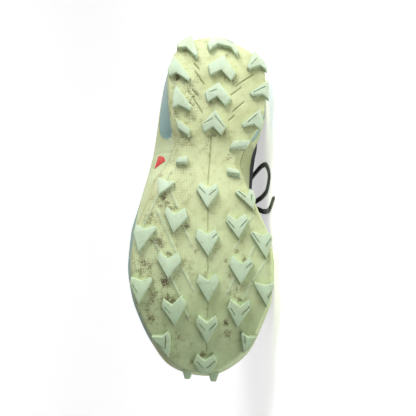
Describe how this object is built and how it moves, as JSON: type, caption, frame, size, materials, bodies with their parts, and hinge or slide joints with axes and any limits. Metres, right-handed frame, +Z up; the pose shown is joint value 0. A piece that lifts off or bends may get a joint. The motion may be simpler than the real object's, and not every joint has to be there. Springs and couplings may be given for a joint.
{
  "type": "trail running shoe",
  "caption": "Low-cut left trail running shoe lying on its medial side: lugged rubber outsole, foam midsole with a heel wedge, hollow textile upper, tongue, insole and laces",
  "frame": {"origin": "centre of the bottom of the shoe's box as it lies on the floor on its medial side, without the free runs of the lace", "axes": "+Z up from the floor, towards the lateral side; +X along the shoe from toe to heel; the tread faces -Y and a little up"},
  "size_m": [0.2994, 0.1504, 0.124],
  "materials": {
    "outsole_rubber": "matte",
    "wedge_plastic": "satin",
    "midsole_foam": "matte",
    "inset_rubber": "satin",
    "upper_textile": "matte",
    "insole_foam": "matte",
    "lace_textile": "matte"
  },
  "bodies": {
    "root": {"outsole": "outsole_rubber", "heel_wedge": "wedge_plastic", "midsole": "midsole_foam", "arch_inset": "inset_rubber", "upper": "upper_textile", "tongue": "upper_textile", "insole": "insole_foam", "lace_crossings": "lace_textile", "lace_knot": "lace_textile", "lace_loop_1": "lace_textile", "lace_loop_2": "lace_textile", "lace_end_1": "lace_textile", "lace_end_2": "lace_textile"}
  },
  "joints": []
}
